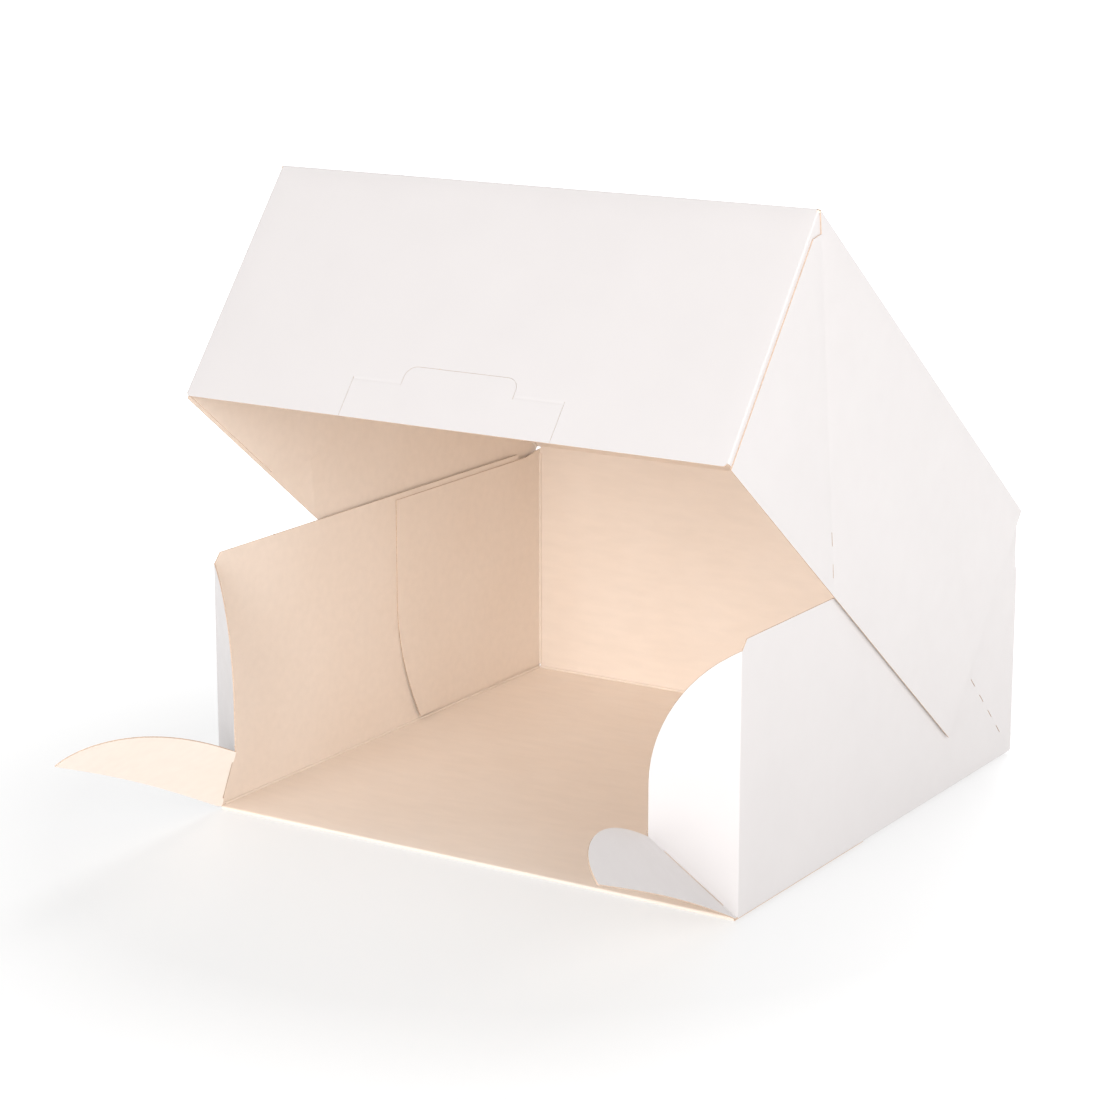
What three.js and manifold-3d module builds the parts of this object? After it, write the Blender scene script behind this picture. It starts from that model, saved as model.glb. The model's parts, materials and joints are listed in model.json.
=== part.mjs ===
// A square folding carton of coated board, standing with its lid propped half open.
// The tray is one folded sheet, the hinged lid is its continuation over the back wall,
// and the lid's front holds a small lock panel that is cut free on three sides.
// Millimetres, +X right, +Y back, +Z up. The sheet is drawn round the centre of the floor's
// underside, and the whole is then placed so that the origin is the centre of the face that
// it stands on, the front wall folded back under the floor.

import * as THREE from 'three';
import { mergeVertices } from 'three/addons/utils/BufferGeometryUtils.js';
import Module from 'manifold-3d';

const wasm = await Module();
wasm.setup();

// The board
const BOARD = 0.5; // thickness of the sheet
const FOLD_RADIUS = 0.8; // outside radius of a creased fold, which also makes its bead inside
const CUT_GAP = 0.3; // clearance between neighbours that are free of each other
const BEAD_EASE = 0.02; // how far a bead stays under the outer faces that it rounds
const GLUE_BITE = 0.05; // how far a glued flap is pressed into its panel
const FOLD_SIDES = 16; // facets round a fold's bead
const ARC_STEPS = 12; // facets along a curved cut
const CUTTER_DEPTH = 3; // how deep a cutting tool reaches, centred on the board
const WELD_DISTANCE = 1e-4; // corners of one shape closer than this are the same point
const MERGE_DISTANCE = 0.004; // points of a joined sheet closer than this become one

// The tray
const WIDTH = 250; // outside, side wall to side wall
const DEPTH = 250; // outside, front fold to back wall
const WALL = 110; // height of the walls
const FRONT_CHAMFER = 4; // cut across a side wall's front top corner
const REAR_CUT_LENGTH = 20; // cut along a side wall's top, at the back
const REAR_CUT_DROP = 26; // how far that cut comes down the back fold

// The back wall's glue flaps, inside the side walls
const TRAY_FLAP_LENGTH = 120; // reach from the back wall
const TRAY_FLAP_SLACK = 2.5; // how far the flap stays below the wall's top and above the floor
const TRAY_FLAP_ARC_HEIGHT = 58; // height over which its front edge curves back
const TRAY_FLAP_ARC_REACH = 16; // how far it curves back at the floor

// The front wall, folded back under the floor
const FRONT_WALL_HEIGHT = 108;
const FRONT_WALL_SIDE_GAP = 0.6; // cut away at each side
const UNDER_GAP = 0.5; // air between the floor and the front wall under it

// The dust flaps at the side walls' front folds, and the lobes beyond their diagonal creases
const DUST_FLAP_REACH = 35; // width of a flap, and height of the notch where its lobe starts
const DUST_FLAP_SHOULDER = 56; // height where the flap's edge starts to curve
const DUST_FLAP_TURN = 49.5; // degrees that a flap is folded in from its wall
const LOBE_LENGTH = 112; // along the straight cut that parted it from the front wall
const LOBE_TIP_WIDTH = 1.6; // blunt end of the lobe
const LOBE_TURN = 79.5; // degrees that a lobe is folded out from its flap
const DIAGONAL_SLIT_START = 8; // the diagonal is cut through from here, measured from the corner
const DIAGONAL_SLIT_END = 41; // to here, and only creased beyond

// The lid
const LID_ANGLE = 38.2; // degrees open at rest
const LID_WALL = 110; // height of the lid's front and side panels
const HINGE_SETBACK = 1; // where the lid's top panel starts, measured from the hinge line
const SIDE_SETBACK = 2.6; // side panels stop short of the front face
const SIDE_NOTCH_DEPTH = 7; // and near the top are cut back along the diagonal, this far
const SIDE_NOTCH_HEIGHT = 12; // height below the top where that cut meets their front edge
const LID_CORNER_RADIUS = 3; // round lower corners of the lid's front panel

// The lid front's glue flaps, inside the lid's side panels
const LID_FLAP_LENGTH = 108; // reach from the front face
const LID_FLAP_FOOT = 70; // length left along the lower edge
const LID_FLAP_ARC_HEIGHT = 68; // height over which the free edge curves
const LID_FLAP_BEND_HEIGHT = 23; // height of the corner that the curve bends round

// The lock panel in the lid's front
const LOCK_WIDTH = 98;
const LOCK_HEIGHT = 17; // lower edge to crease
const TAB_WIDTH = 52; // tongue above the crease
const TAB_HEIGHT = 8;
const TAB_RADIUS = 5;

// Perforated diagonal creases on the side walls and on the lid's side panels
const PERF_LENGTH = 5.8; // one cut
const PERF_PITCH = 13.2; // cut to cut
const PERF_WIDTH = 0.4;
const WALL_PERF_START = 17; // from the rear bottom corner to the first cut
const WALL_PERF_COUNT = 4;
const LID_PERF_START = 7.7; // from the lid's lower edge to the first cut
const LID_PERF_COUNT = 2;

const halfWidth = WIDTH / 2;
const frontY = -DEPTH / 2;
const backY = DEPTH / 2;
const lidHalfWidth = halfWidth + CUT_GAP + 2 * BOARD;
const lidLength = DEPTH + CUT_GAP + BOARD;
const lidTop = CUT_GAP + BOARD;
const lidLower = lidTop - LID_WALL;

const X = new THREE.Vector3(1, 0, 0);
const Y = new THREE.Vector3(0, 1, 0);
const Z = new THREE.Vector3(0, 0, 1);
const radians = THREE.MathUtils.degToRad;

// Turns a closed geometry into a solid.
function solidOf(geometry) {
  const bare = geometry.clone();
  bare.deleteAttribute('normal');
  bare.deleteAttribute('uv');
  const merged = mergeVertices(bare, WELD_DISTANCE);
  return new wasm.Manifold(new wasm.Mesh({
    numProp: 3,
    vertProperties: new Float32Array(merged.attributes.position.array),
    triVerts: new Uint32Array(merged.index.array),
  }));
}

// Turns a solid back into a geometry.
function geometryOf(solid) {
  const mesh = solid.setTolerance(MERGE_DISTANCE).getMesh();
  const geometry = new THREE.BufferGeometry();
  geometry.setAttribute('position', new THREE.BufferAttribute(mesh.vertProperties, 3));
  geometry.setIndex(new THREE.BufferAttribute(mesh.triVerts, 1));
  geometry.computeVertexNormals();
  return geometry;
}

// A frame whose first two axes lie in one face of a panel; its board lies along the third.
function panelFrame(corner, along, up) {
  const through = new THREE.Vector3().crossVectors(along, up);
  return new THREE.Matrix4().makeBasis(along, up, through).setPosition(corner);
}

// A flat panel of board from its outline in that frame.
function panel(outline, frame) {
  const geometry = new THREE.ExtrudeGeometry(outline, {
    depth: BOARD,
    bevelEnabled: false,
    curveSegments: ARC_STEPS,
  });
  return geometry.applyMatrix4(frame);
}

// A round bead between two points.
function bead(from, to, outside) {
  const length = from.distanceTo(to);
  const radius = outside - BEAD_EASE;
  const geometry = new THREE.CylinderGeometry(radius, radius, length, FOLD_SIDES);
  const turn = new THREE.Quaternion().setFromUnitVectors(Y, to.clone().sub(from).normalize());
  geometry.applyQuaternion(turn);
  const middle = from.clone().add(to).multiplyScalar(0.5);
  return geometry.translate(middle.x, middle.y, middle.z);
}

// The same geometry on the other side of the carton.
function mirrored(geometry) {
  const copy = geometry.index ? geometry.toNonIndexed() : geometry.clone();
  copy.deleteAttribute('normal');
  copy.deleteAttribute('uv');
  copy.scale(-1, 1, 1);
  const position = copy.attributes.position;
  const first = new THREE.Vector3();
  const last = new THREE.Vector3();
  for (let corner = 0; corner < position.count; corner += 3) {
    first.fromBufferAttribute(position, corner);
    last.fromBufferAttribute(position, corner + 2);
    position.setXYZ(corner, last.x, last.y, last.z);
    position.setXYZ(corner + 2, first.x, first.y, first.z);
  }
  return copy;
}

function joined(geometries) {
  return geometries.map(solidOf).reduce((sum, piece) => sum.add(piece));
}

function withCuts(solid, cuts) {
  return cuts.map(solidOf).reduce((rest, cut) => rest.subtract(cut), solid);
}

function polygon(points) {
  return new THREE.Shape(points.map(([u, v]) => new THREE.Vector2(u, v)));
}

// Floor and back wall

function trayFloor() {
  const outline = polygon([
    [FOLD_RADIUS - halfWidth, frontY],
    [halfWidth - FOLD_RADIUS, frontY],
    [halfWidth - FOLD_RADIUS, backY - FOLD_RADIUS],
    [FOLD_RADIUS - halfWidth, backY - FOLD_RADIUS],
  ]);
  return panel(outline, panelFrame(new THREE.Vector3(), X, Y));
}

function backWall() {
  const outline = polygon([
    [FOLD_RADIUS - halfWidth, FOLD_RADIUS],
    [halfWidth - FOLD_RADIUS, FOLD_RADIUS],
    [halfWidth - FOLD_RADIUS, WALL],
    [FOLD_RADIUS - halfWidth, WALL],
  ]);
  return panel(outline, panelFrame(new THREE.Vector3(0, backY, 0), X, Z));
}

function backBottomFold() {
  const from = new THREE.Vector3(FOLD_RADIUS - halfWidth, backY - FOLD_RADIUS, FOLD_RADIUS);
  return bead(from, new THREE.Vector3(-from.x, from.y, from.z), FOLD_RADIUS);
}

// Side wall, its folds and its flaps, on the right

function sideWall() {
  const outline = polygon([
    [0, FOLD_RADIUS],
    [DEPTH - FOLD_RADIUS, FOLD_RADIUS],
    [DEPTH - FOLD_RADIUS, WALL - REAR_CUT_DROP],
    [DEPTH - REAR_CUT_LENGTH, WALL],
    [FRONT_CHAMFER, WALL],
    [0, WALL - FRONT_CHAMFER],
  ]);
  // The outline runs from the front to the back, so its frame lies in the wall's inner face.
  const corner = new THREE.Vector3(halfWidth - BOARD, frontY, 0);
  return panel(outline, panelFrame(corner, Y, Z));
}

function sideBottomFold() {
  const from = new THREE.Vector3(halfWidth - FOLD_RADIUS, frontY, FOLD_RADIUS);
  return bead(from, new THREE.Vector3(from.x, backY - FOLD_RADIUS, from.z), FOLD_RADIUS);
}

function trayGlueFlap() {
  const top = WALL - TRAY_FLAP_SLACK;
  const outline = new THREE.Shape();
  outline.moveTo(0, TRAY_FLAP_SLACK);
  outline.lineTo(0, top);
  outline.lineTo(-TRAY_FLAP_LENGTH, top);
  outline.lineTo(-TRAY_FLAP_LENGTH, TRAY_FLAP_SLACK + TRAY_FLAP_ARC_HEIGHT);
  outline.quadraticCurveTo(
    -TRAY_FLAP_LENGTH, TRAY_FLAP_SLACK + TRAY_FLAP_ARC_HEIGHT / 2,
    TRAY_FLAP_ARC_REACH - TRAY_FLAP_LENGTH, TRAY_FLAP_SLACK,
  );
  const corner = new THREE.Vector3(halfWidth - 2 * BOARD + GLUE_BITE, backY - BOARD / 2, 0);
  return panel(outline, panelFrame(corner, Y, Z));
}

function trayGlueFold() {
  const from = new THREE.Vector3(halfWidth - FOLD_RADIUS, backY - FOLD_RADIUS, FOLD_RADIUS);
  return bead(from, new THREE.Vector3(from.x, from.y, WALL - TRAY_FLAP_SLACK), FOLD_RADIUS);
}

// The dust flap's frame starts at the carton's front bottom corner.
const frontCorner = new THREE.Vector3(halfWidth, frontY, 0);
const flapAlong = new THREE.Vector3(
  -Math.sin(radians(DUST_FLAP_TURN)),
  -Math.cos(radians(DUST_FLAP_TURN)),
  0,
);
const diagonal = flapAlong.clone().add(Z).normalize();
const lobeTurn = new THREE.Quaternion().setFromAxisAngle(diagonal, radians(LOBE_TURN));
const lobeAlong = flapAlong.clone().applyQuaternion(lobeTurn);
const lobeUp = Z.clone().applyQuaternion(lobeTurn);

function dustFlap() {
  const rise = WALL - FRONT_CHAMFER - DUST_FLAP_SHOULDER;
  const radius = (DUST_FLAP_REACH ** 2 + rise ** 2) / (2 * DUST_FLAP_REACH);
  const outline = new THREE.Shape();
  outline.moveTo(0, 0);
  outline.lineTo(DUST_FLAP_REACH, DUST_FLAP_REACH);
  outline.lineTo(DUST_FLAP_REACH, DUST_FLAP_SHOULDER);
  outline.absarc(
    DUST_FLAP_REACH - radius, DUST_FLAP_SHOULDER,
    radius, 0, Math.asin(rise / radius), false,
  );
  return panel(outline, panelFrame(frontCorner, flapAlong, Z));
}

function dustFlapFold() {
  const inset = new THREE.Vector3(-BOARD / 2, 0, 0);
  const from = frontCorner.clone().add(inset).addScaledVector(Z, BOARD / 2);
  const to = frontCorner.clone().add(inset).addScaledVector(Z, WALL - FRONT_CHAMFER);
  return bead(from, to, BOARD / 2);
}

function lobe() {
  const outline = new THREE.Shape();
  outline.moveTo(0, 0);
  outline.lineTo(LOBE_LENGTH, 0);
  outline.lineTo(LOBE_LENGTH, LOBE_TIP_WIDTH);
  outline.absellipse(
    DUST_FLAP_REACH, LOBE_TIP_WIDTH,
    LOBE_LENGTH - DUST_FLAP_REACH, DUST_FLAP_REACH - LOBE_TIP_WIDTH,
    0, Math.PI / 2, false, 0,
  );
  return panel(outline, panelFrame(frontCorner, lobeAlong, lobeUp));
}

// The crease between flap and lobe holds only beside its slit.
function diagonalCreases() {
  const at = (distance) => frontCorner.clone().addScaledVector(diagonal, distance);
  const notch = DUST_FLAP_REACH * Math.SQRT2 + BOARD / 2;
  return [
    bead(at(0), at(DIAGONAL_SLIT_START + BOARD), BOARD / 2),
    bead(at(DIAGONAL_SLIT_END - BOARD), at(notch), BOARD / 2),
  ];
}

function diagonalSlit() {
  const length = DIAGONAL_SLIT_END - DIAGONAL_SLIT_START;
  const middle = (DIAGONAL_SLIT_END + DIAGONAL_SLIT_START) / 2;
  const geometry = new THREE.BoxGeometry(length, CUT_GAP, CUTTER_DEPTH);
  const across = new THREE.Vector3().crossVectors(flapAlong, Z).cross(diagonal).normalize();
  const through = new THREE.Vector3().crossVectors(diagonal, across);
  const frame = new THREE.Matrix4().makeBasis(diagonal, across, through);
  frame.setPosition(frontCorner.clone().addScaledVector(diagonal, middle));
  return geometry.applyMatrix4(frame);
}

// A row of cuts through an upright panel, rising towards the front at 45 degrees.
function perforations(corner, start, count) {
  const cuts = [];
  for (let index = 0; index < count; index += 1) {
    const reach = (start + PERF_LENGTH / 2 + index * PERF_PITCH) * Math.SQRT1_2;
    const geometry = new THREE.BoxGeometry(CUTTER_DEPTH, PERF_LENGTH, PERF_WIDTH);
    geometry.rotateX(-Math.PI / 4);
    cuts.push(geometry.translate(corner.x, corner.y - reach, corner.z + reach));
  }
  return cuts;
}

function wallPerforations() {
  const corner = new THREE.Vector3(halfWidth - BOARD / 2, backY, 0);
  return perforations(corner, WALL_PERF_START, WALL_PERF_COUNT);
}

// Front wall, folded back under the floor

function frontWall() {
  const inset = FOLD_RADIUS + FRONT_WALL_SIDE_GAP;
  const outline = polygon([
    [inset - halfWidth, 0],
    [halfWidth - inset, 0],
    [halfWidth - inset, FRONT_WALL_HEIGHT],
    [inset - halfWidth, FRONT_WALL_HEIGHT],
  ]);
  const corner = new THREE.Vector3(0, frontY, -UNDER_GAP - BOARD);
  return panel(outline, panelFrame(corner, X, Y));
}

function frontFold() {
  const radius = BOARD + UNDER_GAP / 2;
  const inset = FOLD_RADIUS + FRONT_WALL_SIDE_GAP;
  const from = new THREE.Vector3(inset - halfWidth, frontY, -UNDER_GAP / 2);
  return bead(from, new THREE.Vector3(-from.x, from.y, from.z), radius);
}

function trayGeometry() {
  const rightSide = [
    sideWall(),
    sideBottomFold(),
    trayGlueFlap(),
    trayGlueFold(),
    dustFlap(),
    dustFlapFold(),
    lobe(),
    ...diagonalCreases(),
  ];
  const middle = [trayFloor(), backWall(), backBottomFold(), frontWall(), frontFold()];
  const cuts = [diagonalSlit(), ...wallPerforations()];
  const sheet = joined([...middle, ...rightSide, ...rightSide.map(mirrored)]);
  return geometryOf(withCuts(sheet, [...cuts, ...cuts.map(mirrored)]));
}

// The lid, drawn closed, with its hinge line on the X axis

function lidTopPanel() {
  const outline = polygon([
    [FOLD_RADIUS - lidHalfWidth, FOLD_RADIUS - lidLength],
    [lidHalfWidth - FOLD_RADIUS, FOLD_RADIUS - lidLength],
    [lidHalfWidth - FOLD_RADIUS, -HINGE_SETBACK],
    [FOLD_RADIUS - lidHalfWidth, -HINGE_SETBACK],
  ]);
  return panel(outline, panelFrame(new THREE.Vector3(0, 0, CUT_GAP), X, Y));
}

function lidFrontPanel() {
  const lower = lidLower;
  const upper = lidTop - FOLD_RADIUS;
  const side = lidHalfWidth - FOLD_RADIUS;
  const outline = new THREE.Shape();
  outline.moveTo(-side, upper);
  outline.lineTo(-side, lower + LID_CORNER_RADIUS);
  outline.quadraticCurveTo(-side, lower, LID_CORNER_RADIUS - side, lower);
  outline.lineTo(side - LID_CORNER_RADIUS, lower);
  outline.quadraticCurveTo(side, lower, side, lower + LID_CORNER_RADIUS);
  outline.lineTo(side, upper);
  const corner = new THREE.Vector3(0, BOARD - lidLength, 0);
  return panel(outline, panelFrame(corner, X, Z));
}

function lidFrontFold() {
  const from = new THREE.Vector3(
    FOLD_RADIUS - lidHalfWidth, FOLD_RADIUS - lidLength, lidTop - FOLD_RADIUS,
  );
  return bead(from, new THREE.Vector3(-from.x, from.y, from.z), FOLD_RADIUS);
}

function lidSidePanel() {
  const lower = lidLower;
  const upper = lidTop - FOLD_RADIUS;
  const outline = polygon([
    [-HINGE_SETBACK, upper],
    [FOLD_RADIUS - lidLength, upper],
    [SIDE_NOTCH_DEPTH - lidLength, lidTop - SIDE_NOTCH_DEPTH],
    [SIDE_SETBACK - lidLength, lidTop - SIDE_NOTCH_HEIGHT],
    [SIDE_SETBACK - lidLength, lower],
    [-HINGE_SETBACK, lower],
  ]);
  const corner = new THREE.Vector3(lidHalfWidth - BOARD, 0, 0);
  return panel(outline, panelFrame(corner, Y, Z));
}

function lidSideFold() {
  const from = new THREE.Vector3(
    lidHalfWidth - FOLD_RADIUS, FOLD_RADIUS - lidLength, lidTop - FOLD_RADIUS,
  );
  return bead(from, new THREE.Vector3(from.x, -HINGE_SETBACK, from.z), FOLD_RADIUS);
}

function lidGlueFlap() {
  const lower = lidLower + LID_CORNER_RADIUS;
  const upper = lidTop - 2 * FOLD_RADIUS;
  const front = FOLD_RADIUS - lidLength;
  const outline = new THREE.Shape();
  outline.moveTo(front, upper);
  outline.lineTo(front, lower);
  outline.lineTo(LID_FLAP_FOOT - lidLength, lower);
  outline.quadraticCurveTo(
    LID_FLAP_LENGTH - lidLength, lower + LID_FLAP_BEND_HEIGHT,
    LID_FLAP_LENGTH - lidLength, lower + LID_FLAP_ARC_HEIGHT,
  );
  outline.lineTo(LID_FLAP_LENGTH - lidLength, upper);
  const corner = new THREE.Vector3(lidHalfWidth - 2 * BOARD + GLUE_BITE, 0, 0);
  return panel(outline, panelFrame(corner, Y, Z));
}

function lidGlueFold() {
  const from = new THREE.Vector3(
    lidHalfWidth - FOLD_RADIUS, FOLD_RADIUS - lidLength, lidLower + LID_CORNER_RADIUS,
  );
  return bead(from, new THREE.Vector3(from.x, from.y, lidTop - FOLD_RADIUS), FOLD_RADIUS);
}

// The lid's diagonal crease runs from the front top corner down to the lower edge.
function lidPerforations() {
  const corner = new THREE.Vector3(lidHalfWidth - BOARD / 2, LID_WALL - lidLength, lidLower);
  return perforations(corner, LID_PERF_START, LID_PERF_COUNT);
}

// The lock panel with its tongue; spread widens every edge, to make the cut around it.
function lockOutline(spread) {
  const crease = lidLower + LOCK_HEIGHT + spread;
  const side = LOCK_WIDTH / 2 + spread;
  const tabSide = TAB_WIDTH / 2 + spread;
  const tabTop = crease + TAB_HEIGHT;
  const radius = TAB_RADIUS + spread;
  const lower = lidLower - spread;
  const outline = new THREE.Shape();
  outline.moveTo(-side, lower);
  outline.lineTo(side, lower);
  outline.lineTo(side, crease);
  outline.lineTo(tabSide, crease);
  outline.lineTo(tabSide, tabTop - radius);
  outline.quadraticCurveTo(tabSide, tabTop, tabSide - radius, tabTop);
  outline.lineTo(radius - tabSide, tabTop);
  outline.quadraticCurveTo(-tabSide, tabTop, -tabSide, tabTop - radius);
  outline.lineTo(-tabSide, crease);
  outline.lineTo(-side, crease);
  return outline;
}

const lidFrontFrame = panelFrame(new THREE.Vector3(0, BOARD - lidLength, 0), X, Z);

function lockWindow() {
  const geometry = new THREE.ExtrudeGeometry(lockOutline(CUT_GAP), {
    depth: CUTTER_DEPTH,
    bevelEnabled: false,
    curveSegments: ARC_STEPS,
  });
  return geometry.translate(0, 0, (BOARD - CUTTER_DEPTH) / 2).applyMatrix4(lidFrontFrame);
}

function lidGeometry() {
  const rightSide = [lidSidePanel(), lidSideFold(), lidGlueFlap(), lidGlueFold()];
  const middle = [lidTopPanel(), lidFrontPanel(), lidFrontFold()];
  const sheet = joined([...middle, ...rightSide, ...rightSide.map(mirrored)]);
  const cuts = lidPerforations();
  return geometryOf(withCuts(sheet, [lockWindow(), ...cuts, ...cuts.map(mirrored)]));
}

function lockPanelGeometry() {
  return geometryOf(solidOf(panel(lockOutline(0), lidFrontFrame)));
}

const coatedBoard = new THREE.MeshStandardMaterial({
  color: 0xf4efeb,
  roughness: 0.38,
  metalness: 0,
});
const linerBoard = new THREE.MeshStandardMaterial({
  color: 0xeacfb4,
  roughness: 0.62,
  metalness: 0,
});

function piece(name, geometry, material) {
  const mesh = new THREE.Mesh(geometry, material);
  mesh.name = name;
  return mesh;
}

const carton = new THREE.Group();
carton.position.set(0, -frontY - FRONT_WALL_HEIGHT / 2, UNDER_GAP + BOARD);
carton.add(piece('tray', trayGeometry(), linerBoard));

const lidGroup = new THREE.Group();
lidGroup.position.set(0, backY, WALL);
lidGroup.rotation.x = -radians(LID_ANGLE);
lidGroup.add(piece('lid', lidGeometry(), coatedBoard));
lidGroup.add(piece('lock_panel', lockPanelGeometry(), coatedBoard));
carton.add(lidGroup);

export default carton;
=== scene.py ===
import json
import math
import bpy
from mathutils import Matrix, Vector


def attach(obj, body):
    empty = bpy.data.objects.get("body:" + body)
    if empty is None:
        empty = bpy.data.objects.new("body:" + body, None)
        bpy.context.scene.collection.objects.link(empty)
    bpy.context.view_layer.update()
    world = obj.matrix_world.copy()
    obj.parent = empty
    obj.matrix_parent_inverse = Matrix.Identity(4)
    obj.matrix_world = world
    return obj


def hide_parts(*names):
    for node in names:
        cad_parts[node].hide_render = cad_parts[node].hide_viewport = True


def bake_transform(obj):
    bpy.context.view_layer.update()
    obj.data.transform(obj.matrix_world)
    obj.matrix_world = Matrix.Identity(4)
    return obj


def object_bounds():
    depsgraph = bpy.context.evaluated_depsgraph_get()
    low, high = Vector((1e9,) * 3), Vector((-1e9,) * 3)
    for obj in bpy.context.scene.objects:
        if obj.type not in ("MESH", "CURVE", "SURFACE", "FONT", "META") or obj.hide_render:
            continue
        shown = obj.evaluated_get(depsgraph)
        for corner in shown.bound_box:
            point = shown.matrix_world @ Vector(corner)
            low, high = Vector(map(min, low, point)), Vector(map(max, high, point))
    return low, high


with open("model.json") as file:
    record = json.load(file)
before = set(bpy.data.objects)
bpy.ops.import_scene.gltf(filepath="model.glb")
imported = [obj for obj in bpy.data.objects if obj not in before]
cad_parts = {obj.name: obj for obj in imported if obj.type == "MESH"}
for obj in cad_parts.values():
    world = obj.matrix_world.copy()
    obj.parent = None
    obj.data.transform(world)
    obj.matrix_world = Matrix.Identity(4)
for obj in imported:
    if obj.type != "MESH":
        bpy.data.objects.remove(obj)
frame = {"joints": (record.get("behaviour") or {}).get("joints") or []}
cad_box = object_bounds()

from types import SimpleNamespace

import bmesh
import bpy
from bpy.props import FloatProperty, FloatVectorProperty, IntProperty, PointerProperty
from mathutils import Matrix, Vector
from mathutils.geometry import delaunay_2d_cdt

# A square folding carton of coated board with a cream inside. The tray, the lid and the lock
# panel are sheets with real folds, cut edges and creases. Metres, +X right, +Y back, +Z up.

bl_info = {
    "name": "Square Folding Carton",
    "version": (1, 0, 0),
    "blender": (4, 5, 0),
    "location": "3D View > Sidebar > Carton",
    "description": "Builds a folded carton with an open tray, a hinged lid and a lock panel",
    "category": "Add Mesh",
}

MM = 0.001

JOINTS = {joint["name"]: joint for joint in frame["joints"]}
HINGE = Vector(JOINTS["lid_hinge"]["pos_m"])
TABLE_Z = cad_box[0].z

X = Vector((1, 0, 0))
Y = Vector((0, 1, 0))
Z = Vector((0, 0, 1))
SIDES = (Matrix.Identity(4), Matrix.Diagonal((-1, 1, 1, 1)))

OUTSIDE, INSIDE, CUT_EDGE = range(3)

POINT_CLEARANCE = 0.55
RING_POINTS = 12
SHARP_EDGE = 32.0
SHARP_STRIP_EDGE = 60.0
LAMP_SIZE = 1.8
LAMP_DISTANCE = 3.0
TABLE_DROP = 0.05 * MM
TABLE_TONES = ((0.295,) * 3, (0.305,) * 3)
WHITE = (1, 1, 1)


# Sizes and colours

def length(name, description, default):
    return FloatProperty(
        name=name, description=description, default=default,
        min=0.0, precision=5, subtype="DISTANCE", unit="LENGTH",
    )


def angle(name, description, degrees):
    return FloatProperty(
        name=name, description=description, default=math.radians(degrees),
        subtype="ANGLE", unit="ROTATION",
    )


def colour(name, description, default):
    return FloatVectorProperty(
        name=name, description=description, default=default,
        size=3, min=0.0, max=1.0, subtype="COLOR",
    )


def number(name, description, default):
    return FloatProperty(name=name, description=description, default=default)


def whole(name, description, default):
    return IntProperty(name=name, description=description, default=default, min=1)


class CartonBoard(bpy.types.PropertyGroup):
    """The sheet that everything is folded from"""
    thickness: length("Thickness", "Thickness of the board", 0.5 * MM)
    fold_radius: length("Fold Radius", "Outside radius of a fold", 0.8 * MM)
    bead_radius: length("Bead Radius", "Radius of the bead inside a fold", 0.62 * MM)
    bead_start: length("Bead Start", "Start of a wall's bead, from the front", 2 * MM)
    seat: length("Seat", "Air between a glued flap and its panel", 0.02 * MM)
    cut_gap: length("Cut Gap", "Width of a cut that parts two panels", 0.12 * MM)
    slit_gap: length("Slit Gap", "Width of the slit along a lobe's crease", 0.35 * MM)
    crease_width: length("Crease Width", "Half the width of a pressed crease", 0.9 * MM)
    crease_depth: length("Crease Depth", "Depth of a pressed crease", 0.09 * MM)
    crease_start: length("Crease Start", "Wall crease, from the rear bottom corner", 4 * MM)
    crease_end: length("Crease End", "Left flat at the crease's far end", 2 * MM)
    mesh_step: length("Mesh Step", "Spacing of the points over a panel", 9 * MM)


class CartonTray(bpy.types.PropertyGroup):
    """Floor, walls and their glued flaps"""
    width: length("Width", "Outside, side wall to side wall", 0.250)
    depth: length("Depth", "Outside, front fold to back wall", 0.250)
    wall: length("Wall", "Height of the walls", 0.110)
    chamfer: length("Front Chamfer", "Cut across a wall's front top corner", 4 * MM)
    rear_cut_length: length("Rear Cut Length", "Cut along a wall's top at the back", 0.020)
    rear_cut_drop: length("Rear Cut Drop", "How far the cut comes down the back", 0.026)
    flap_length: length("Flap Length", "Reach of a glue flap from the back wall", 0.120)
    flap_slack: length("Flap Slack", "How far a flap stays from the wall's edges", 2.5 * MM)
    flap_arc_height: length("Flap Arc Height", "Height over which its edge curves", 0.058)
    flap_arc_reach: length("Flap Arc Reach", "How far it curves back at the floor", 0.016)
    flap_lift: length("Flap Lift", "How far its lower tip stands off the wall", 1.6 * MM)
    hinge_slack: length("Hinge Slack", "Left open at each end of the hinge", 0.3 * MM)
    hinge_ease: length("Hinge Ease", "Length over which a flap's top comes down", 0.012)
    under_length: length("Front Wall", "Length of the front wall under the floor", 0.108)
    under_side_gap: length("Front Wall Gap", "Cut away at each side of it", 0.6 * MM)
    under_gap: length("Under Gap", "Air between the floor and the front wall", 0.5 * MM)


class CartonDustFlap(bpy.types.PropertyGroup):
    """Dust flaps at the front, and the lobes beyond their diagonal creases"""
    reach: length("Reach", "Width of a flap, and height of its notch", 0.035)
    shoulder: length("Shoulder", "Height where its edge starts to curve", 0.056)
    turn: angle("Turn", "How far a flap is folded in", 49.5)
    lobe_length: length("Lobe Length", "Along the lobe's straight edge", 0.112)
    lobe_tip: length("Lobe Tip", "Blunt end of a lobe", 1.6 * MM)
    lobe_turn: angle("Lobe Turn", "How far a lobe is folded out", 79.5)
    lobe_curl: length("Lobe Curl", "How far a lobe bends between its ends", 2.5 * MM)
    slit_start: length("Slit Start", "Where the diagonal's slit begins", 8 * MM)
    slit_end: length("Slit End", "Where the diagonal's slit ends", 0.041)


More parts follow.
